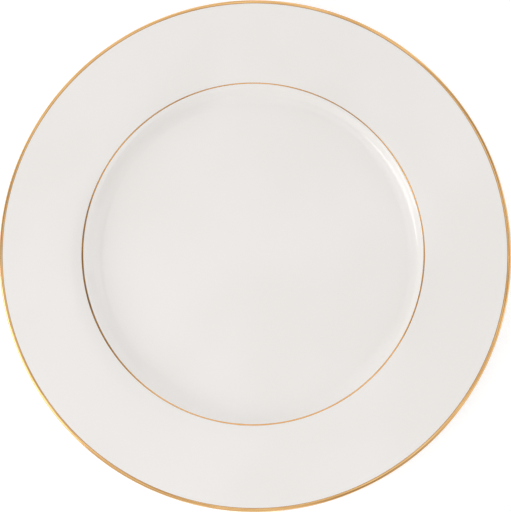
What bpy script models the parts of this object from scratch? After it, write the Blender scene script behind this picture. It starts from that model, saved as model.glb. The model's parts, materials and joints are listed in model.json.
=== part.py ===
"""China dinner plate: a turned porcelain body in three coats of glaze, with gilding on its lip and verge.

The plate stands on its foot ring. The origin is the centre of the foot's resting plane and +Z is
the plate's axis, up out of the well. Every piece is a closed outline in the (radius, height) plane
spun about that axis, and all of them use the same number of steps, so their facets line up.
An outline is a chain of straight lines with a fillet at each corner. A coat is the outline's skin:
the outline itself, joined to a copy pushed inwards along its own normals by the coat's thickness.
"""

import math

import bmesh
import bpy
from mathutils import Matrix, Vector

# Whole plate
PLATE_RADIUS = 0.135
SPIN_STEPS = 60
GAP = 0.0002

# Layers
COAT = 0.0004
GOLD = 0.0003
UNDERCUT = COAT + GAP

# Well and cove
FLOOR_TOP = 0.0078
COVE_FILLET = 0.0086
COVE_CORNER_RADIUS = 0.0837
WALL_SLOPE = math.radians(43)
WALL_THICKNESS = 0.0040

# Verge, shoulder and rim
VERGE_RADIUS = 0.0896
VERGE_FILLET = 0.0026
SHOULDER_RADIUS = 0.0955
SHOULDER_SLOPE = math.radians(11)
SHOULDER_FILLET = 0.040
RIM_SLOPE = math.radians(6)
LIP_THICKNESS = 0.0026
LIP_RADIUS = (LIP_THICKNESS - GAP) / 2
GLAZED_RADIUS = PLATE_RADIUS - GAP - GOLD

# Underside
UNDER_RIM_SLOPE = math.radians(7.5)
UNDER_VERGE_FILLET = 0.0050
UNDER_COVE_FILLET = 0.0120

# Foot ring
FOOT_HEIGHT = 0.0032
FOOT_OUTER_RADIUS = 0.0770
FOOT_INNER_RADIUS = 0.0738
FOOT_LEAN = math.radians(12)
FOOT_EDGE = 0.0007
FOOT_JOIN_FILLET = 0.0012
GLAZE_STOP = 0.0011

# Gilding
LINE_RADIUS = 0.0904
LINE_WIDTH = 0.0009

# Fillet steps: a corner turns through about this much at each step
FILLET_STEP = math.radians(24)
FINE_STEP = math.radians(3)
SHARP_ANGLE = math.radians(40)
WELD_DISTANCE = 0.000001


def left_normal(direction):
    """The unit normal on the left of a direction of travel, which is the piece's outer side."""
    return Vector((-direction.y, direction.x)).normalized()


def fillet(corner, before, after, radius, step):
    """Samples (point, normal) round a corner: an arc that touches both of the corner's lines."""
    arriving = (corner - before).normalized()
    leaving = (after - corner).normalized()
    turn = arriving.angle_signed(leaving)
    reach = radius * math.tan(abs(turn) / 2)
    start_normal = left_normal(arriving)
    side = 1 if turn > 0 else -1
    centre = corner - arriving * reach - start_normal * radius * side
    count = max(1, round(abs(turn) / step))
    samples = []
    for index in range(count + 1):
        normal = Matrix.Rotation(-turn * index / count, 2) @ start_normal
        samples.append((centre + normal * radius * side, normal))
    return samples


def rounded(corners, step=FILLET_STEP):
    """Samples along a chain of (radius, height, fillet) corners; its two ends stay sharp."""
    points = [Vector(corner[:2]) for corner in corners]
    samples = [(points[0], left_normal(points[1] - points[0]))]
    for index in range(1, len(points) - 1):
        before, corner, after = points[index - 1:index + 2]
        samples += fillet(corner, before, after, corners[index][2], step)
    samples.append((points[-1], left_normal(points[-1] - points[-2])))
    return samples


def pushed(samples, depth):
    """The samples' points moved inwards by depth, or outwards where it is negative."""
    return [point - normal * depth for point, normal in samples]


def skin(samples, top, bottom):
    """A closed outline between two depths below the samples."""
    return pushed(samples, top) + pushed(samples, bottom)[::-1]


def verge_height():
    """Where the cove's wall line reaches the verge, above the resting plane."""
    return FLOOR_TOP + (VERGE_RADIUS - COVE_CORNER_RADIUS) * math.tan(WALL_SLOPE)


def shoulder_height(radius):
    """The short cone that rises outwards from the verge to the rim."""
    return verge_height() + (radius - VERGE_RADIUS) * math.tan(SHOULDER_SLOPE)


def rim_height(radius):
    """The rim's upper face, a flatter cone from the shoulder to the lip."""
    shoulder = shoulder_height(SHOULDER_RADIUS)
    return shoulder + (radius - SHOULDER_RADIUS) * math.tan(RIM_SLOPE)


def under_rim_height(radius):
    """The rim's lower face, a steeper cone, so that the rim thickens towards the well."""
    lip_bottom = rim_height(GLAZED_RADIUS) - LIP_THICKNESS
    return lip_bottom - (GLAZED_RADIUS - radius) * math.tan(UNDER_RIM_SLOPE)


def under_cove_corner():
    """The cove's corner with both of its lines moved out by the wall's thickness."""
    radius = COVE_CORNER_RADIUS + WALL_THICKNESS * math.tan(WALL_SLOPE / 2)
    return Vector((radius, FLOOR_TOP - WALL_THICKNESS))


def under_verge_corner():
    """Where the wall's lower line meets the rim's lower face."""
    foot = under_cove_corner()
    steep = math.tan(WALL_SLOPE)
    gentle = math.tan(UNDER_RIM_SLOPE)
    rise = under_rim_height(foot.x) - foot.y
    radius = foot.x + rise / (steep - gentle)
    return Vector((radius, under_rim_height(radius)))


def lip_corners():
    """The lip's two corners, whose fillets make it round but for a flat as wide as the gap."""
    return [
        (GLAZED_RADIUS, rim_height(GLAZED_RADIUS), LIP_RADIUS),
        (GLAZED_RADIUS, under_rim_height(GLAZED_RADIUS), LIP_RADIUS),
    ]


def face_samples(step=FILLET_STEP):
    """From the well's centre over the verge and the rim to the end of the lip's upper fillet."""
    corners = [
        (0, FLOOR_TOP, 0),
        (COVE_CORNER_RADIUS, FLOOR_TOP, COVE_FILLET),
        (VERGE_RADIUS, verge_height(), VERGE_FILLET),
        (SHOULDER_RADIUS, shoulder_height(SHOULDER_RADIUS), SHOULDER_FILLET),
        *lip_corners(),
    ]
    return rounded(corners, step)[:-1]


def foot_wall(radius, height, side):
    """A point on the foot's leaning side wall at this height; side is 1 outside and -1 inside."""
    return radius + side * height * math.tan(FOOT_LEAN)


def back_samples(stop):
    """From the lip's lower fillet under the rim and down the foot's outer wall to height stop."""
    corners = [
        *lip_corners(),
        (*under_verge_corner(), UNDER_VERGE_FILLET),
        (*under_cove_corner(), UNDER_COVE_FILLET),
        (foot_wall(FOOT_OUTER_RADIUS, FOOT_HEIGHT, 1), FOOT_HEIGHT, FOOT_JOIN_FILLET),
        (foot_wall(FOOT_OUTER_RADIUS, stop, 1), stop, 0),
    ]
    return rounded(corners)[1:]


def foot_samples():
    """The unglazed end of the foot ring, flat where it rests."""
    bare = GLAZE_STOP - GAP
    corners = [
        (foot_wall(FOOT_OUTER_RADIUS, bare, 1), bare, 0),
        (FOOT_OUTER_RADIUS, 0, FOOT_EDGE),
        (FOOT_INNER_RADIUS, 0, FOOT_EDGE),
        (foot_wall(FOOT_INNER_RADIUS, bare, -1), bare, 0),
    ]
    return rounded(corners)


def foot_well_samples(stop):
    """From height stop on the foot's inner wall up and across to the centre of its ceiling."""
    corners = [
        (foot_wall(FOOT_INNER_RADIUS, stop, -1), stop, 0),
        (foot_wall(FOOT_INNER_RADIUS, FOOT_HEIGHT, -1), FOOT_HEIGHT, FOOT_JOIN_FILLET),
        (0, FOOT_HEIGHT, 0),
    ]
    return rounded(corners)


def body_outline():
    """The fired body: under the coats it lies deeper by a coat and a gap, and its foot is bare."""
    bare = GLAZE_STOP - GAP
    coated = pushed(face_samples() + back_samples(bare), UNDERCUT)
    return coated + pushed(foot_samples(), 0) + pushed(foot_well_samples(bare), UNDERCUT)


def face_glaze_outline():
    return skin(face_samples(), 0, COAT)


def back_glaze_outline():
    return skin(back_samples(GLAZE_STOP), 0, COAT)


def foot_well_glaze_outline():
    return skin(foot_well_samples(GLAZE_STOP), 0, COAT)


def rim_band_outline():
    """Gilding over the whole of the lip's round, from the rim's face to its underside."""
    corners = [
        (SHOULDER_RADIUS, rim_height(SHOULDER_RADIUS), 0),
        *lip_corners(),
        (SHOULDER_RADIUS, under_rim_height(SHOULDER_RADIUS), 0),
    ]
    return skin(rounded(corners)[1:-1], -GAP - GOLD, -GAP)


def verge_line_outline():
    """A narrow gilded line from the crest of the verge's fillet out onto the shoulder."""
    inner = LINE_RADIUS - LINE_WIDTH / 2
    outer = LINE_RADIUS + LINE_WIDTH / 2
    crest = [sample for sample in face_samples(FINE_STEP) if inner <= sample[0].x < outer]
    outer_point = Vector((outer, shoulder_height(outer)))
    crest.append((outer_point, crest[-1][1]))
    return skin(crest, -GAP - GOLD, -GAP)


def make_material(name, colour, roughness, metallic=0.0):
    material = bpy.data.materials.new(name)
    material.use_nodes = True
    shader = material.node_tree.nodes["Principled BSDF"]
    shader.inputs["Base Color"].default_value = (*colour, 1)
    shader.inputs["Roughness"].default_value = roughness
    shader.inputs["Metallic"].default_value = metallic
    return material


def turn_piece(name, outline, material):
    """Spins a closed outline about Z and welds its seam and its poles."""
    mesh = bpy.data.meshes.new(name)
    work = bmesh.new()
    ring = [work.verts.new((point.x, 0, point.y)) for point in outline]
    for index, vertex in enumerate(ring):
        following = ring[(index + 1) % len(ring)]
        on_axis = max(vertex.co.x, following.co.x) < WELD_DISTANCE
        if not on_axis:
            work.edges.new((vertex, following))
    bmesh.ops.spin(
        work,
        geom=work.verts[:] + work.edges[:],
        cent=(0, 0, 0),
        axis=(0, 0, 1),
        angle=2 * math.pi,
        steps=SPIN_STEPS,
    )
    bmesh.ops.remove_doubles(work, verts=work.verts, dist=WELD_DISTANCE)
    bmesh.ops.recalc_face_normals(work, faces=work.faces)
    work.to_mesh(mesh)
    work.free()
    mesh.shade_smooth()
    mesh.set_sharp_from_angle(angle=SHARP_ANGLE)
    mesh.materials.append(material)
    piece = bpy.data.objects.new(name, mesh)
    bpy.context.collection.objects.link(piece)
    return piece


def build_plate():
    bisque = make_material("bisque_porcelain", (0.80, 0.78, 0.74), 0.6)
    glaze = make_material("clear_glaze", (0.84, 0.81, 0.79), 0.12)
    gilding = make_material("burnished_gold", (0.74, 0.46, 0.20), 0.28, 1.0)
    turn_piece("porcelain_body", body_outline(), bisque)
    turn_piece("face_glaze", face_glaze_outline(), glaze)
    turn_piece("back_glaze", back_glaze_outline(), glaze.copy())
    turn_piece("foot_well_glaze", foot_well_glaze_outline(), glaze.copy())
    turn_piece("gold_rim_band", rim_band_outline(), gilding)
    turn_piece("gold_verge_line", verge_line_outline(), gilding.copy())


def clear_scene():
    for item in list(bpy.data.objects):
        bpy.data.objects.remove(item, do_unlink=True)


clear_scene()
build_plate()
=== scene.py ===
"""Looks of the gilded china dinner plate: glazed porcelain, hand-banded gold and the bare foot.

Every piece is a turned surface: an outline in the (radius, height) plane carried round the plate's
axis. One outline runs from the well's centre over the rim, round the lip, under the rim and through
the foot to the centre of the underside. The layers are that outline pushed in or out along its own
normals. All lengths are in metres and all angles in radians, unless a name says otherwise.
"""

import json
import math

import bmesh
import bpy
import numpy as np
from mathutils import Matrix, Vector


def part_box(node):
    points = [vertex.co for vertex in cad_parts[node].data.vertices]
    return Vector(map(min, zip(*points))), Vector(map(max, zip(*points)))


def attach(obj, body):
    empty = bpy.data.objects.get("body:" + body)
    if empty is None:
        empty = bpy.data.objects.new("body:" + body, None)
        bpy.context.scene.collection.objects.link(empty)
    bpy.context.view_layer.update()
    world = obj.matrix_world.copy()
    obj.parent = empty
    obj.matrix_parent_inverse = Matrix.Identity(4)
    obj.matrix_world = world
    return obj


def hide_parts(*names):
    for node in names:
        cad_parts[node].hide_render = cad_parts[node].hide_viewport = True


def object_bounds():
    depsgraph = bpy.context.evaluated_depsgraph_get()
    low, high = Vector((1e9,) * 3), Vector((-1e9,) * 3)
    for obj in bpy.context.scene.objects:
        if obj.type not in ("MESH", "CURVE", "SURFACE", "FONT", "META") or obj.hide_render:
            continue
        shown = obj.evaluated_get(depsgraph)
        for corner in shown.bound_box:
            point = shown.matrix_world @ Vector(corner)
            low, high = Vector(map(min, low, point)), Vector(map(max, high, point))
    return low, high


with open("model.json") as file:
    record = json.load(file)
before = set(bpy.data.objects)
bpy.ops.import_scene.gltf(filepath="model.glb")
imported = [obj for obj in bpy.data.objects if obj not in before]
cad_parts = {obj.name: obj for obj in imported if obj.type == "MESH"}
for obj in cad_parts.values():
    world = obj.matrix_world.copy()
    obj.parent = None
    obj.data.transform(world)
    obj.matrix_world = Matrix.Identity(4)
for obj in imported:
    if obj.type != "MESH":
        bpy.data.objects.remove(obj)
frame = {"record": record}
cad_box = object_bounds()

MM = 0.001
FULL_TURN = 2 * math.pi

# ------------------------------------------------------------ sizes and places from the frame

mounts = {mount["name"]: mount for mount in frame["record"]["mounts"]}
PLATE_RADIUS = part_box("gold_rim_band")[1].x
LIP_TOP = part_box("face_glaze")[1].z
FLOOR_TOP = mounts["well_floor"]["pos_m"][2]
FOOT_MIDDLE = mounts["foot_ring"]["pos_m"][0]
GLAZE_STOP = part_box("back_glaze")[0].z

# ------------------------------------------------------------ the real layers

# A glaze coat lies on the body with a hair's gap, and thins to WIPED_SHARE where it was wiped off.
# A gold film stands off the glaze by SEAT.
COAT = 0.16 * MM
COAT_GAP = 0.01 * MM
WIPED_WIDTH = 0.5 * MM
WIPED_SHARE = 0.08
FILM = 0.020 * MM
SEAT = 0.004 * MM
CROWN_ROOT = 4
EDGE_CROWDING = 0.6

# ------------------------------------------------------------ the section's corners

COVE_CORNER = 83.9 * MM
COVE_FILLET = 9.3 * MM
VERGE_CORNER = 89.35 * MM
VERGE_FILLET = 2.5 * MM
SHOULDER_CORNER = 95.5 * MM
SHOULDER_FILLET = 80 * MM
SHOULDER_SLOPE = math.radians(11)
RIM_SLOPE = math.radians(6)
LIP_THICKNESS = 2.6 * MM
LIP_HALF_FLAT = 0.02 * MM
LIP_FILLET = LIP_THICKNESS / 2 - LIP_HALF_FLAT
GLAZED_RADIUS = PLATE_RADIUS - FILM - SEAT
UNDER_RIM_SLOPE = math.radians(7.5)
FOOT_HEIGHT = 3.2 * MM
FOOT_HALF_WIDTH = 1.6 * MM
FOOT_LEAN = math.tan(math.radians(12))
FOOT_EDGE_FILLET = 0.7 * MM
FOOT_JOIN_FILLET = 1.2 * MM

# Under the verge: radius and fillet. Under the cove: radius, height and fillet.
UNDER_VERGE = (92.36 * MM, 5.0 * MM)
UNDER_COVE = (85.28 * MM, 3.8 * MM, 12.0 * MM)

# ------------------------------------------------------------ fineness

COAT_SPIN = 384
BODY_SPIN = 288
GILD_SPIN = 720
ARC_STEP = math.radians(3)
RUN_STEP = 2.5 * MM
BAND_STEPS = 56
LINE_STEPS = 13
WELD = 0.0001 * MM

# ------------------------------------------------------------ what the kiln and the hand leave

# Kiln warp of the rim: waves round the plate, height of each wave and its phase
WARP_WAVES = ((2, 0.09 * MM, 0.6), (3, 0.05 * MM, 2.2))
LOWEST_WOBBLE = 3

# Each gilded circle is laid off the plate's centre by a distance towards an azimuth
BAND_INNER = 132.95 * MM
BAND_OFFSET = (0.28 * MM, math.radians(126))
BAND_UNDER_REACH = 1.9 * MM
BAND_WOBBLE = 0.03 * MM
BAND_UNDER_WOBBLE = 0.12 * MM
LINE_RADIUS = 90.41 * MM
LINE_OFFSET = (1.47 * MM, math.radians(133))
LINE_HALF_WIDTH = 0.36 * MM
LINE_WOBBLE = 0.035 * MM
LINE_WIDTH_WOBBLE = 0.03 * MM

# The line's even swells: waves round the circle, depth and the azimuth of a crest
LINE_SWELLS = ((1, 0.030 * MM, math.radians(255)), (2, 0.030 * MM, math.radians(176)))

# Its two wider places, a stretch from a loaded brush and the stroke's lap: depth, azimuth and span
LOADED_STRETCH = (0.105 * MM, math.radians(185), math.radians(30))
LAP = (0.07 * MM, math.radians(265), math.radians(1.3))

# ------------------------------------------------------------ colours and patterns

# Each pair is a pattern's two colours
PORCELAIN = ((0.865, 0.838, 0.815), (0.845, 0.816, 0.788))
BISQUE = ((0.72, 0.69, 0.64), (0.60, 0.57, 0.53))
RIM_GOLD = ((0.87, 0.55, 0.25), (0.58, 0.32, 0.115))
VERGE_GOLD = ((0.80, 0.46, 0.18), (0.68, 0.36, 0.125))
GOLD_THIN = (0.42, 0.235, 0.09)
TABLE_WHITE = ((0.93, 0.93, 0.93), (0.91, 0.91, 0.91))
TABLE_GLOW = 0.26

# Roughness from one end of a pattern to the other
GLAZE_ROUGHNESS = (0.045, 0.075)
BISQUE_ROUGHNESS = (0.82, 0.55)
GOLD_ROUGHNESS = (0.10, 0.24)
TABLE_ROUGHNESS = 0.7
GLAZE_IOR = 1.52
GLAZE_SPECULAR = 0.5

# Patterns, in waves per metre
GLAZE_CLOUDS = 14
GLAZE_SWELL = 45
GLAZE_HAZE = 220
GLAZE_PEEL = 520
BISQUE_RUBS = 160
BISQUE_GRAIN = 3800
GOLD_PATCHES = 90
GOLD_GRAIN = 2600
TABLE_CLOUDS = 3

# Brush streaks across the width of a gilded line or band
STREAKS_ACROSS = 9

# Relief: how strongly it bends the light, and its height
FACE_RIPPLE = 0.10
BACK_RIPPLE = 0.16
SWELL_HEIGHT = 0.12 * MM
PEEL_HEIGHT = 0.004 * MM
BISQUE_RELIEF = (0.6, 0.06 * MM)
STREAK_RELIEF = (0.35, 0.010 * MM)
GOLD_GRAIN_RELIEF = (0.25, 0.006 * MM)

# The values of a noise pattern, or of two multiplied for the sheen, between which its ramp runs
SOFT_SPREAD = (0.3, 0.7)
RUB_SPREAD = (0.42, 0.66)
STREAK_SPREAD = (0.38, 0.64)
SHEEN_SPREAD = (0.1, 0.45)

# ------------------------------------------------------------ studio

CAMERA_LENS_MM = 180
SENSOR_MM = 36
FRAME_HEIGHT = 270.0 * MM
CAMERA_AIM = (0.13 * MM, 0.07 * MM)
CAMERA_CLIP = 0.01
TABLE_HALF_WIDTH = 1.5
TABLE_POINTS = 13
TABLE_GAP = 0.02 * MM

# The room's brightness, and the share that it gains on the left wall and loses on the right one
ROOM_WALL = 1.05
ROOM_LEAN = 0.03

# Dark round places: lean from overhead, azimuth, outer and inner edge in degrees, share of light lost
DARK_PLACES = ((20, 3, 12, 5, 0.74), (46, 184, 18, 7, 0.78))

# Gaps between the banks of light: azimuths in degrees, share of light lost, outer and inner half-width
GAP_AZIMUTHS = (30, 165, 240, 300)
GAP_DEPTH = 0.50
GAP_EDGE = (math.radians(20), math.radians(7))

# Where a gap starts and where it has its full depth, as the sine of the angle from straight overhead
# and as the sine of the angle above the horizon
GAP_TOP_FADE = (0.05, 0.3)
GAP_LOW_FADE = (0.03, 0.25)


def fillet(corner, before, after, radius):
    """Points and outward normals of the arc that touches both lines of a corner.

    The arc's centre lies off the corner on the turn's inner side; the normal turns evenly from the
    first line's normal to the second's, and each point is the centre plus or minus radius times it.
    """
    arriving = (corner - before) / np.linalg.norm(corner - before)
    leaving = (after - corner) / np.linalg.norm(after - corner)
    turn = math.atan2(np.cross(arriving, leaving), arriving @ leaving)
    side = -math.copysign(1, turn)
    reach = radius * math.tan(abs(turn) / 2)
    normal = np.array((-arriving[1], arriving[0]))
    centre = corner - arriving * reach - normal * radius * side
    count = max(3, math.ceil(abs(turn) / ARC_STEP) + 1)
    angle = math.atan2(normal[1], normal[0]) + turn * np.linspace(0, 1, count)
    normals = np.stack((np.cos(angle), np.sin(angle)), axis=1)
    return centre + normals * radius * side, normals


def section(corners):
    """(points, normals) along straight runs joined by fillets; a run gains a point every RUN_STEP."""
    places = np.array([corner[:2] for corner in corners], float)
    ends = [(places[:1], None)]
    for index in range(1, len(corners) - 1):
        before, corner, after = places[index - 1:index + 2]
        ends.append(fillet(corner, before, after, corners[index][2]))
    ends.append((places[-1:], None))
    points, normals = [], []
    for (arc, arc_normals), (following, _) in zip(ends, ends[1:]):
        start, stop = arc[-1], following[0]
        run = stop - start
        count = max(2, math.ceil(np.linalg.norm(run) / RUN_STEP))
        normal = np.array((-run[1], run[0])) / np.linalg.norm(run)
        steps = np.linspace(0, 1, count, endpoint=False)[:, None]
        if arc_normals is not None:
            points.append(arc[:-1])
            normals.append(arc_normals[:-1])
        points.append(start + run * steps)
        normals.append(np.repeat(normal[None], count, axis=0))
    points.append(places[-1:])
    normals.append(normals[-1][-1:])
    return np.concatenate(points), np.concatenate(normals)


def lip_corners():
    """The lip's upper and lower corner; the upper fillet's crown reaches the lip's top height."""
    crown = math.tan((math.pi / 2 + RIM_SLOPE) / 2) - 1
    top = LIP_TOP + crown * LIP_FILLET
    return (
        (GLAZED_RADIUS, top, LIP_FILLET),
        (GLAZED_RADIUS, top - LIP_THICKNESS, LIP_FILLET),
    )


def face_corners():
    """Well floor, cove, verge and shoulder. The rim's cone runs down inwards from the lip."""
    rim_edge = lip_corners()[0][1]
    shoulder = rim_edge - (GLAZED_RADIUS - SHOULDER_CORNER) * math.tan(RIM_SLOPE)
    verge = shoulder - (SHOULDER_CORNER - VERGE_CORNER) * math.tan(SHOULDER_SLOPE)
    return [
        (0, FLOOR_TOP, 0),
        (COVE_CORNER, FLOOR_TOP, COVE_FILLET),
        (VERGE_CORNER, verge, VERGE_FILLET),
        (SHOULDER_CORNER, shoulder, SHOULDER_FILLET),
    ]


def foot_wall(height, side):
    """Radius of the foot's outer (side 1) or inner (side -1) wall at a height; both walls lean."""
    return FOOT_MIDDLE + side * (FOOT_HALF_WIDTH + height * FOOT_LEAN)


def back_corners(stop):
    """Under the rim, down the wall and the foot's outer side to height stop."""
    lip_under = lip_corners()[1][1]
    verge_radius, verge_fillet = UNDER_VERGE
    under_verge = lip_under - (GLAZED_RADIUS - verge_radius) * math.tan(UNDER_RIM_SLOPE)
    return [
        (verge_radius, under_verge, verge_fillet),
        UNDER_COVE,
        (foot_wall(FOOT_HEIGHT, 1), FOOT_HEIGHT, FOOT_JOIN_FILLET),
        (foot_wall(stop, 1), stop, 0),
    ]


def foot_well_corners(stop):
    """From height stop on the foot's inner side up and over to the underside's centre."""
    return [
        (foot_wall(stop, -1), stop, 0),
        (foot_wall(FOOT_HEIGHT, -1), FOOT_HEIGHT, FOOT_JOIN_FILLET),
        (0, FOOT_HEIGHT, 0),
    ]


def bare_foot_corners(start):
    """The wiped end of the foot ring, flat where it rests."""
    return [
        (foot_wall(start, 1), start, 0),
        (foot_wall(0, 1), 0, FOOT_EDGE_FILLET),
        (foot_wall(0, -1), 0, FOOT_EDGE_FILLET),
        (foot_wall(start, -1), start, 0),
    ]


def glazed_section():
    """The whole glazed outline from the well's centre round the lip to the foot's outer side."""
    return section([*face_corners(), *lip_corners(), *back_corners(GLAZE_STOP)])


def split_at_lip(outline):
    """The outline's part above the lip's outermost point and its part below it."""
    points, normals = outline
    outermost = int(np.argmax(points[:, 0]))
    upper = (points[:outermost + 1], normals[:outermost + 1])
    lower = (points[outermost + 1:], normals[outermost + 1:])
    return upper, lower


def distance_along(points):
    """Length walked along the points, starting at zero."""
    steps = np.linalg.norm(np.diff(points, axis=0), axis=1)
    return np.concatenate(((0,), np.cumsum(steps)))


def smooth_step(value, low, high):
    """0 below low and 1 above high, with an S-shaped change between them."""
    share = np.clip((value - low) / (high - low), 0, 1)
    return share * share * (3 - 2 * share)


def warp(points):
    """Kiln warp: the rim lifts and sinks by about a tenth of a millimetre, in two and in three waves.

    The lift grows with the square of the distance outside the foot, so the foot stays flat.
    """
    azimuth = np.arctan2(points[..., 1], points[..., 0])
    radius = np.hypot(points[..., 0], points[..., 1])
    free = np.clip((radius - FOOT_MIDDLE) / (PLATE_RADIUS - FOOT_MIDDLE), 0, 1) ** 2
    waves = sum(high * np.sin(count * azimuth + phase) for count, high, phase in WARP_WAVES)
    lifted = points.copy()
    lifted[..., 2] += waves * free
    return lifted


def hand_wobble(azimuth, seed, waves=9):
    """A sum of sines round the plate, each higher one weaker: a steady hand's small drift, -1 to 1."""
    dice = np.random.default_rng(seed)
    total = np.zeros_like(azimuth)
    for order in range(LOWEST_WOBBLE, LOWEST_WOBBLE + waves):
        phase = dice.uniform(0, FULL_TURN)
        total += np.sin(order * azimuth + phase) / order
    return total / np.abs(total).max()


# ------------------------------------------------------------ meshes


def mesh_from_grid(name, grid, across=None):
    """A closed skin over a grid of points that wraps both round the plate and across the outline.

    Point (i, j) joins (i + 1, j) and (i, j + 1), with both counts wrapping. Doubles on the axis are
    merged, and the faces are turned outwards. Where across is given, a UV map holds the share of the
    way round and the share of the way across.
    """
    around, along = grid.shape[:2]
    i, j = np.meshgrid(np.arange(around), np.arange(along), indexing="ij")
    corner_i = np.stack((i, i + 1, i + 1, i), axis=-1)
    corner_j = np.stack((j, j, j + 1, j + 1), axis=-1)
    faces = (corner_i % around) * along + corner_j % along
    mesh = bpy.data.meshes.new(name)
    mesh.from_pydata(grid.reshape(-1, 3).tolist(), [], faces.reshape(-1, 4).tolist())
    if across is not None:
        shares = np.stack((corner_i / around, np.asarray(across)[corner_j % along]), axis=-1)
        layer = mesh.uv_layers.new(name="BandUV")
        layer.uv.foreach_set("vector", shares.reshape(-1).astype(np.float32))
    work = bmesh.new()
    work.from_mesh(mesh)
    bmesh.ops.remove_doubles(work, verts=work.verts, dist=WELD)
    bmesh.ops.recalc_face_normals(work, faces=work.faces)
    work.to_mesh(mesh)
    work.free()
    mesh.shade_smooth()
    piece = bpy.data.objects.new(name, mesh)
    bpy.context.scene.collection.objects.link(piece)
    return piece


def azimuths(steps):
    """A column of this many even azimuths round the plate."""
    return np.linspace(0, FULL_TURN, steps, endpoint=False)[:, None]


def spin(outline, steps):
    """A grid of the outline's (radius, height) points at this many even azimuths."""
    azimuth = azimuths(steps)
    radius, height = outline[:, 0], outline[:, 1]
    return np.stack(
        (np.cos(azimuth) * radius, np.sin(azimuth) * radius, np.ones_like(azimuth) * height),
        axis=-1,
    )


def place(piece, material, node):
    """Gives a piece its material and puts it in the CAD node's stead on the plate's one body."""
    piece.data.materials.append(material)
    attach(piece, "root")
    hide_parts(node)


def coat_piece(name, outline, thickness):
    """A glaze coat: the outline and a copy pushed inwards by the coat's thickness at each point."""
    points, normals = outline
    under = points - normals * thickness[:, None]
    return mesh_from_grid(name, warp(spin(np.concatenate((points, under[::-1])), COAT_SPIN)))


def wiped(points, from_end):
    """Coat thickness: full, and thinning over WIPED_WIDTH to the end where it was wiped off."""
    walked = distance_along(points)
    left = walked[-1] - walked if from_end else walked
    return COAT * (WIPED_SHARE + (1 - WIPED_SHARE) * smooth_step(left, 0, WIPED_WIDTH))


def make_body():
    """The fired porcelain: the glazed outline less the coat, with the foot's bare end on it."""
    depth = COAT + COAT_GAP
    bare_top = GLAZE_STOP - COAT_GAP
    points, normals = glazed_section()
    well_points, well_normals = section(foot_well_corners(GLAZE_STOP))
    foot_points, _ = section(bare_foot_corners(bare_top))
    outline = np.concatenate(
        (points - normals * depth, foot_points, well_points - well_normals * depth)
    )
    return mesh_from_grid("porcelain_with_foot", warp(spin(outline, BODY_SPIN)))


def make_coats():
    """The three coats: over the face, over the back, and inside the foot ring."""
    upper, lower = split_at_lip(glazed_section())
    well = section(foot_well_corners(GLAZE_STOP))
    full = np.full(len(upper[0]), COAT)
    return {
        "face": coat_piece("face_coat", upper, full),
        "back": coat_piece("back_coat", lower, wiped(lower[0], True)),
        "foot_well": coat_piece("foot_well_coat", well, wiped(well[0], False)),
    }


# ------------------------------------------------------------ gilding


def off_centre(radius, offset, azimuth):
    """A circle laid off the plate's centre: its radius plus its offset times the azimuth's cosine.

    The azimuth is counted from the direction of the offset.
    """
    distance, towards = offset
    return radius + distance * np.cos(azimuth - towards)


def film_shares(steps):
    """Shares across the film, a little closer together near its two edges."""
    even = np.linspace(0, 1, steps)
    return even - EDGE_CROWDING * np.sin(FULL_TURN * even) / FULL_TURN


def gild(name, outline, measure, wanted, azimuth, share):
    """A thin lens-shaped film laid on the outline, at each azimuth and share of the way across.

    measure is a radius or a distance walked, known at each point of the outline, and wanted is the
    grid of its values under the film; radius, height and normal are interpolated to them. The upper
    skin stands off the glaze by SEAT plus FILM times the fourth root of 4 s (1 - s) at share s,
    which gives it a full crown and thin edges; the lower skin stands off by SEAT.
    """
    points, normals = outline
    radius, height, radial, axial = (
        np.interp(wanted, measure, column) for column in (*points.T, *normals.T)
    )
    crown = FILM * np.clip(4 * share * (1 - share), 0, 1) ** (1 / CROWN_ROOT)
    skins = []
    for lift in (SEAT + crown, np.full_like(crown, SEAT)):
        out = radius + radial * lift
        up = height + axial * lift
        skins.append(np.stack((np.cos(azimuth) * out, np.sin(azimuth) * out, up), axis=-1))
    grid = np.concatenate((skins[0], skins[1][:, -2:0:-1]), axis=1)
    across = np.concatenate((share, share[-2:0:-1]))
    return mesh_from_grid(name, warp(grid), across)


def make_rim_band():
    """Gold over the lip.

    Its inner edge is a circle set off the plate's centre, as the hand laid it; from there it follows
    the lip's outline by the distance walked, round and under to a wavering lower edge.
    """
    outline = glazed_section()
    points = outline[0]
    walked = distance_along(points)
    outermost = int(np.argmax(points[:, 0]))
    azimuth = azimuths(GILD_SPIN)
    inner = off_centre(BAND_INNER, BAND_OFFSET, azimuth)
    inner += BAND_WOBBLE * hand_wobble(azimuth, seed=3, waves=14)
    start = np.interp(inner, points[:outermost + 1, 0], walked[:outermost + 1])
    stop = walked[outermost] + BAND_UNDER_REACH
    stop = stop + BAND_UNDER_WOBBLE * hand_wobble(azimuth, seed=4)
    share = film_shares(BAND_STEPS)
    return gild("rim_gilding", outline, walked, start + (stop - start) * share, azimuth, share)


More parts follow.
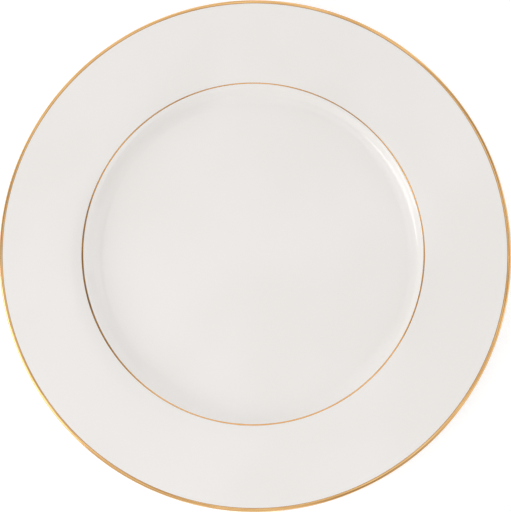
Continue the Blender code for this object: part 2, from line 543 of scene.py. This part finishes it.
def make_verge_line():
    """The thin gold line on the verge.

    It is a circle set off the plate's centre. Its half-width follows the brush: slow swells, a longer
    loaded stretch, and a bell-shaped widening where the stroke laps over its own start.
    """
    upper, _ = split_at_lip(glazed_section())
    azimuth = azimuths(GILD_SPIN)
    middle = off_centre(LINE_RADIUS, LINE_OFFSET, azimuth)
    middle += LINE_WOBBLE * hand_wobble(azimuth, seed=7)
    half = LINE_HALF_WIDTH + LINE_WIDTH_WOBBLE * hand_wobble(azimuth, seed=8, waves=24)
    for waves, depth, crest in LINE_SWELLS:
        half += depth * np.cos(waves * (azimuth - crest))
    for depth, widest, span in (LOADED_STRETCH, LAP):
        half += depth * np.exp(-(((azimuth - widest) / span) ** 2))
    share = film_shares(LINE_STEPS)
    radius = middle + half * (2 * share - 1)
    return gild("verge_gilding", upper, upper[0][:, 0], radius, azimuth, share)


# ------------------------------------------------------------ materials


def new_material(name):
    """(material, its node tree, its Principled shader)"""
    material = bpy.data.materials.new(name)
    material.use_nodes = True
    tree = material.node_tree
    return material, tree, tree.nodes["Principled BSDF"]


def add(tree, kind, links=(), **values):
    """A shader node: values sets its sockets and settings, links is (its socket, a source socket)."""
    node = tree.nodes.new("ShaderNode" + kind)
    for key, value in values.items():
        if hasattr(node, key):
            setattr(node, key, value)
        else:
            node.inputs[key.replace("_", " ")].default_value = value
    for socket, source in links:
        tree.links.new(source, node.inputs[socket])
    return node


def noise(tree, where, scale, detail=3, roughness=0.5):
    """The value socket of a noise pattern at a scale in waves per metre."""
    links = [("Vector", where)]
    node = add(tree, "TexNoise", links, Scale=scale, Detail=detail, Roughness=roughness)
    return node.outputs["Fac"]


def ramp(tree, value, low, high, bottom=0.0, top=1.0):
    """value carried smoothly from the range low to high into the range bottom to top."""
    node = add(tree, "MapRange", [("Value", value)], interpolation_type="SMOOTHSTEP")
    for socket, number in zip(("From Min", "From Max", "To Min", "To Max"), (low, high, bottom, top)):
        node.inputs[socket].default_value = number
    return node.outputs["Result"]


def times(tree, first, second):
    """The product of two value sockets."""
    return add(tree, "Math", [(0, first), (1, second)], operation="MULTIPLY").outputs[0]


def tint(tree, share, first, second):
    """A colour by share, from first, a colour or another colour's socket, to the colour second."""
    node = add(tree, "Mix", [("Factor", share)], data_type="RGBA")
    start, stop = (socket for socket in node.inputs if socket.type == "RGBA")
    if isinstance(first, bpy.types.NodeSocket):
        tree.links.new(first, start)
    else:
        start.default_value = (*first, 1)
    stop.default_value = (*second, 1)
    return next(socket for socket in node.outputs if socket.type == "RGBA")


def bump(tree, height, strength, distance, below=None):
    """A normal socket raised by height, on top of another normal socket if one is given."""
    links = [("Height", height)]
    if below is not None:
        links.append(("Normal", below))
    node = add(tree, "Bump", links, Strength=strength, Distance=distance)
    return node.outputs["Normal"]


def set_patterns(tree, shader, colour=None, roughness=None, normal=None):
    """Joins the sockets of a finish's patterns to its shader."""
    patterns = {"Base Color": colour, "Roughness": roughness, "Normal": normal}
    for socket, source in patterns.items():
        if source is not None:
            tree.links.new(source, shader.inputs[socket])


def make_glaze(name, ripple):
    """Clear glaze on white porcelain: faint tonal clouds, a glassy skin with a very slight ripple."""
    material, tree, shader = new_material(name)
    where = add(tree, "TexCoord").outputs["Object"]
    clouds = ramp(tree, noise(tree, where, GLAZE_CLOUDS, detail=2), *SOFT_SPREAD)
    haze = noise(tree, where, GLAZE_HAZE, detail=4, roughness=0.6)
    swell = bump(tree, noise(tree, where, GLAZE_SWELL, detail=1), ripple, SWELL_HEIGHT)
    peel = bump(tree, noise(tree, where, GLAZE_PEEL, detail=2), ripple, PEEL_HEIGHT, swell)
    set_patterns(
        tree,
        shader,
        colour=tint(tree, clouds, *PORCELAIN),
        roughness=ramp(tree, haze, *SOFT_SPREAD, *GLAZE_ROUGHNESS),
        normal=peel,
    )
    shader.inputs["IOR"].default_value = GLAZE_IOR
    shader.inputs["Specular IOR Level"].default_value = GLAZE_SPECULAR
    return material


def make_bisque():
    """Bare fired porcelain on the foot: fine grain and rubbed grey patches."""
    material, tree, shader = new_material("bare_bisque")
    where = add(tree, "TexCoord").outputs["Object"]
    rubbed = ramp(tree, noise(tree, where, BISQUE_RUBS, detail=5), *RUB_SPREAD)
    set_patterns(
        tree,
        shader,
        colour=tint(tree, rubbed, *BISQUE),
        roughness=ramp(tree, rubbed, 0, 1, *BISQUE_ROUGHNESS),
        normal=bump(tree, noise(tree, where, BISQUE_GRAIN, detail=4), *BISQUE_RELIEF),
    )
    return material


def make_gold(name, colours, streaks, thin_edge):
    """Burnished gold film: brush streaks run along the stroke, and its two edges lie thin and brown.

    colours is the full film's colour and its colour in a streak; streaks is how many of them follow
    each other round the circle; thin_edge is the share of the width, at each side, over which the
    film thins out.
    """
    material, tree, shader = new_material(name)
    uv = add(tree, "UVMap", uv_map="BandUV").outputs["UV"]
    where = add(tree, "TexCoord").outputs["Object"]
    stretched = add(tree, "Mapping", [("Vector", uv)])
    stretched.inputs["Scale"].default_value = (streaks, STREAKS_ACROSS, 1)
    strokes = noise(tree, stretched.outputs["Vector"], 1.0, detail=5, roughness=0.65)
    split = add(tree, "SeparateXYZ", [("Vector", uv)])
    middle = add(tree, "Math", [(0, split.outputs["Y"])], operation="SUBTRACT")
    middle.inputs[1].default_value = 0.5
    edge = add(tree, "Math", [(0, middle.outputs[0])], operation="ABSOLUTE")
    thinned = ramp(tree, edge.outputs[0], 0.5 - thin_edge, 0.5)
    full = tint(tree, ramp(tree, strokes, *STREAK_SPREAD), *colours)
    sheen = times(tree, strokes, noise(tree, where, GOLD_PATCHES, detail=3))
    brushed = bump(tree, strokes, *STREAK_RELIEF)
    grain = noise(tree, where, GOLD_GRAIN, detail=3)
    set_patterns(
        tree,
        shader,
        colour=tint(tree, thinned, full, GOLD_THIN),
        roughness=ramp(tree, sheen, *SHEEN_SPREAD, *GOLD_ROUGHNESS),
        normal=bump(tree, grain, *GOLD_GRAIN_RELIEF, brushed),
    )
    shader.inputs["Metallic"].default_value = 1.0
    return material


def make_table():
    """A pale, slightly glowing table top, even enough to read as a plain ground."""
    material, tree, shader = new_material("pale_table")
    where = add(tree, "TexCoord").outputs["Object"]
    clouds = ramp(tree, noise(tree, where, TABLE_CLOUDS, detail=2), *SOFT_SPREAD)
    set_patterns(tree, shader, colour=tint(tree, clouds, *TABLE_WHITE))
    shader.inputs["Roughness"].default_value = TABLE_ROUGHNESS
    shader.inputs["Emission Color"].default_value = (1, 1, 1, 1)
    shader.inputs["Emission Strength"].default_value = TABLE_GLOW
    return material


# ------------------------------------------------------------ camera, room and table


def make_camera():
    """Looks straight down at the lip, its frame as tall as the plate is wide there."""
    data = bpy.data.cameras.new("overhead_camera")
    data.lens = CAMERA_LENS_MM
    data.sensor_width = SENSOR_MM
    data.clip_start = CAMERA_CLIP
    camera = bpy.data.objects.new("overhead_camera", data)
    bpy.context.scene.collection.objects.link(camera)
    lip_middle = lip_corners()[1][1] + LIP_THICKNESS / 2
    away = FRAME_HEIGHT * CAMERA_LENS_MM / SENSOR_MM
    camera.matrix_world = Matrix.Translation((*CAMERA_AIM, lip_middle + away))
    bpy.context.scene.camera = camera


def heading(azimuth, elevation):
    """The unit direction at an azimuth and an elevation, both in degrees."""
    turn, rise = math.radians(azimuth), math.radians(elevation)
    return Vector((math.cos(rise) * math.cos(turn), math.cos(rise) * math.sin(turn), math.sin(rise)))


def facing(tree, vector, axis):
    """The cosine between a direction's socket and a fixed axis, as a value socket."""
    node = add(tree, "VectorMath", [(0, vector)], operation="DOT_PRODUCT")
    node.inputs[1].default_value = axis
    return node.outputs["Value"]


def level_heading(tree, direction):
    """(a direction's level part made one unit long, the length that the level part had)"""
    level = add(tree, "VectorMath", [(0, direction)], operation="MULTIPLY")
    level.inputs[1].default_value = (1, 1, 0)
    unit = add(tree, "VectorMath", [(0, level.outputs["Vector"])], operation="NORMALIZE")
    length = add(tree, "VectorMath", [(0, level.outputs["Vector"])], operation="LENGTH")
    return unit.outputs["Vector"], length.outputs["Value"]


def make_room():
    """A pale room, lighter on the window's side, with soft gaps between its banks of light.

    Its level falls from the left wall to the right one, dips at each gap's azimuth, and drops in two
    soft-edged round places: one overhead, where the camera's arm hangs, and one beside the window.
    The gaps fade out straight overhead and at the horizon.
    """
    world = bpy.data.worlds.new("studio_room")
    world.use_nodes = True
    tree = world.node_tree
    direction = add(tree, "TexCoord").outputs["Generated"]
    most, least = ROOM_WALL * (1 + ROOM_LEAN), ROOM_WALL * (1 - ROOM_LEAN)
    level = ramp(tree, facing(tree, direction, (1, 0, 0)), -1, 1, most, least)
    for lean, azimuth, outer, inner, drop in DARK_PLACES:
        closeness = facing(tree, direction, heading(azimuth, 90 - lean))
        edge = (math.cos(math.radians(outer)), math.cos(math.radians(inner)))
        level = times(tree, level, ramp(tree, closeness, *edge, 1, 1 - drop))
    unit, length = level_heading(tree, direction)
    above = ramp(tree, facing(tree, direction, (0, 0, 1)), *GAP_LOW_FADE)
    shown = times(tree, ramp(tree, length, *GAP_TOP_FADE), above)
    outer, inner = GAP_EDGE
    for azimuth in GAP_AZIMUTHS:
        closeness = facing(tree, unit, heading(azimuth, 0))
        depth = ramp(tree, closeness, math.cos(outer), math.cos(inner), 0, GAP_DEPTH)
        keep = add(tree, "Math", [(1, times(tree, depth, shown))], operation="SUBTRACT")
        keep.inputs[0].default_value = 1
        level = times(tree, level, keep.outputs[0])
    background = tree.nodes["Background"]
    background.inputs["Color"].default_value = (1, 1, 1, 1)
    tree.links.new(level, background.inputs["Strength"])
    bpy.context.scene.world = world


def panel(name, azimuth, low, high, width, radiance, distance=1.1, shape="RECTANGLE"):
    """An area lamp of even brightness that faces the plate.

    From the plate it is seen at an azimuth, between the elevations low and high and this wide, all
    in degrees. Its power is its radiance times pi times its area.
    """
    middle = math.radians((low + high) / 2)
    tall = 2 * distance * math.tan(math.radians((high - low) / 2))
    wide = 2 * distance * math.cos(middle) * math.tan(math.radians(width / 2))
    data = bpy.data.lights.new(name, "AREA")
    data.shape = shape
    data.size, data.size_y = wide, tall
    area = wide * tall * (math.pi / 4 if shape == "ELLIPSE" else 1)
    data.energy = radiance * math.pi * area
    lamp = bpy.data.objects.new(name, data)
    bpy.context.scene.collection.objects.link(lamp)
    stand = distance * heading(azimuth, (low + high) / 2)
    back = (stand - Vector((0, 0, LIP_TOP / 2))).normalized()
    lamp.matrix_world = Matrix.Translation(stand) @ back.to_track_quat("Z", "Y").to_matrix().to_4x4()


def make_studio():
    """The room, three broad banks of light, and the window with the light from its sill."""
    make_room()
    panel("bank_right", azimuth=354, low=4, high=34, width=24, radiance=0.45)
    panel("bank_left", azimuth=208, low=40, high=70, width=84, radiance=0.44, distance=0.55)
    panel("bank_low_left", azimuth=194, low=3, high=14, width=90, radiance=0.34, distance=0.9)
    window = {"azimuth": 206, "distance": 0.8}
    panel("window_left", low=6, high=26.5, width=46, radiance=3.0, shape="ELLIPSE", **window)
    panel("window_sill", low=1, high=7, width=24, radiance=0.5, **window)
    bpy.context.scene.view_settings.view_transform = "Standard"


def make_floor():
    """A level table top just under the foot, as an even grid of squares."""
    side = np.linspace(-TABLE_HALF_WIDTH, TABLE_HALF_WIDTH, TABLE_POINTS)
    x, y = np.meshgrid(side, side, indexing="ij")
    z = np.full_like(x, cad_box[0].z - TABLE_GAP)
    grid = np.stack((x, y, z), axis=-1).reshape(-1, 3)
    index = np.arange(TABLE_POINTS ** 2).reshape(TABLE_POINTS, TABLE_POINTS)
    faces = np.stack((index[:-1, :-1], index[1:, :-1], index[1:, 1:], index[:-1, 1:]), axis=-1)
    mesh = bpy.data.meshes.new("table_top")
    mesh.from_pydata(grid.tolist(), [], faces.reshape(-1, 4).tolist())
    mesh.materials.append(make_table())
    floor = bpy.data.objects.new("table_top", mesh)
    bpy.context.scene.collection.objects.link(floor)


# ------------------------------------------------------------ the plate

make_camera()
coats = make_coats()
place(make_body(), make_bisque(), "porcelain_body")
face_glaze = make_glaze("face_glaze_on_white", FACE_RIPPLE)
place(coats["face"], face_glaze, "face_glaze")
back_glaze = make_glaze("back_glaze_on_white", BACK_RIPPLE)
place(coats["back"], back_glaze, "back_glaze")
foot_well_glaze = make_glaze("foot_well_glaze_on_white", BACK_RIPPLE)
place(coats["foot_well"], foot_well_glaze, "foot_well_glaze")
rim_gold = make_gold("rim_gold", RIM_GOLD, streaks=18, thin_edge=0.11)
place(make_rim_band(), rim_gold, "gold_rim_band")
verge_gold = make_gold("verge_gold", VERGE_GOLD, streaks=40, thin_edge=0.16)
place(make_verge_line(), verge_gold, "gold_verge_line")
make_floor()
make_studio()
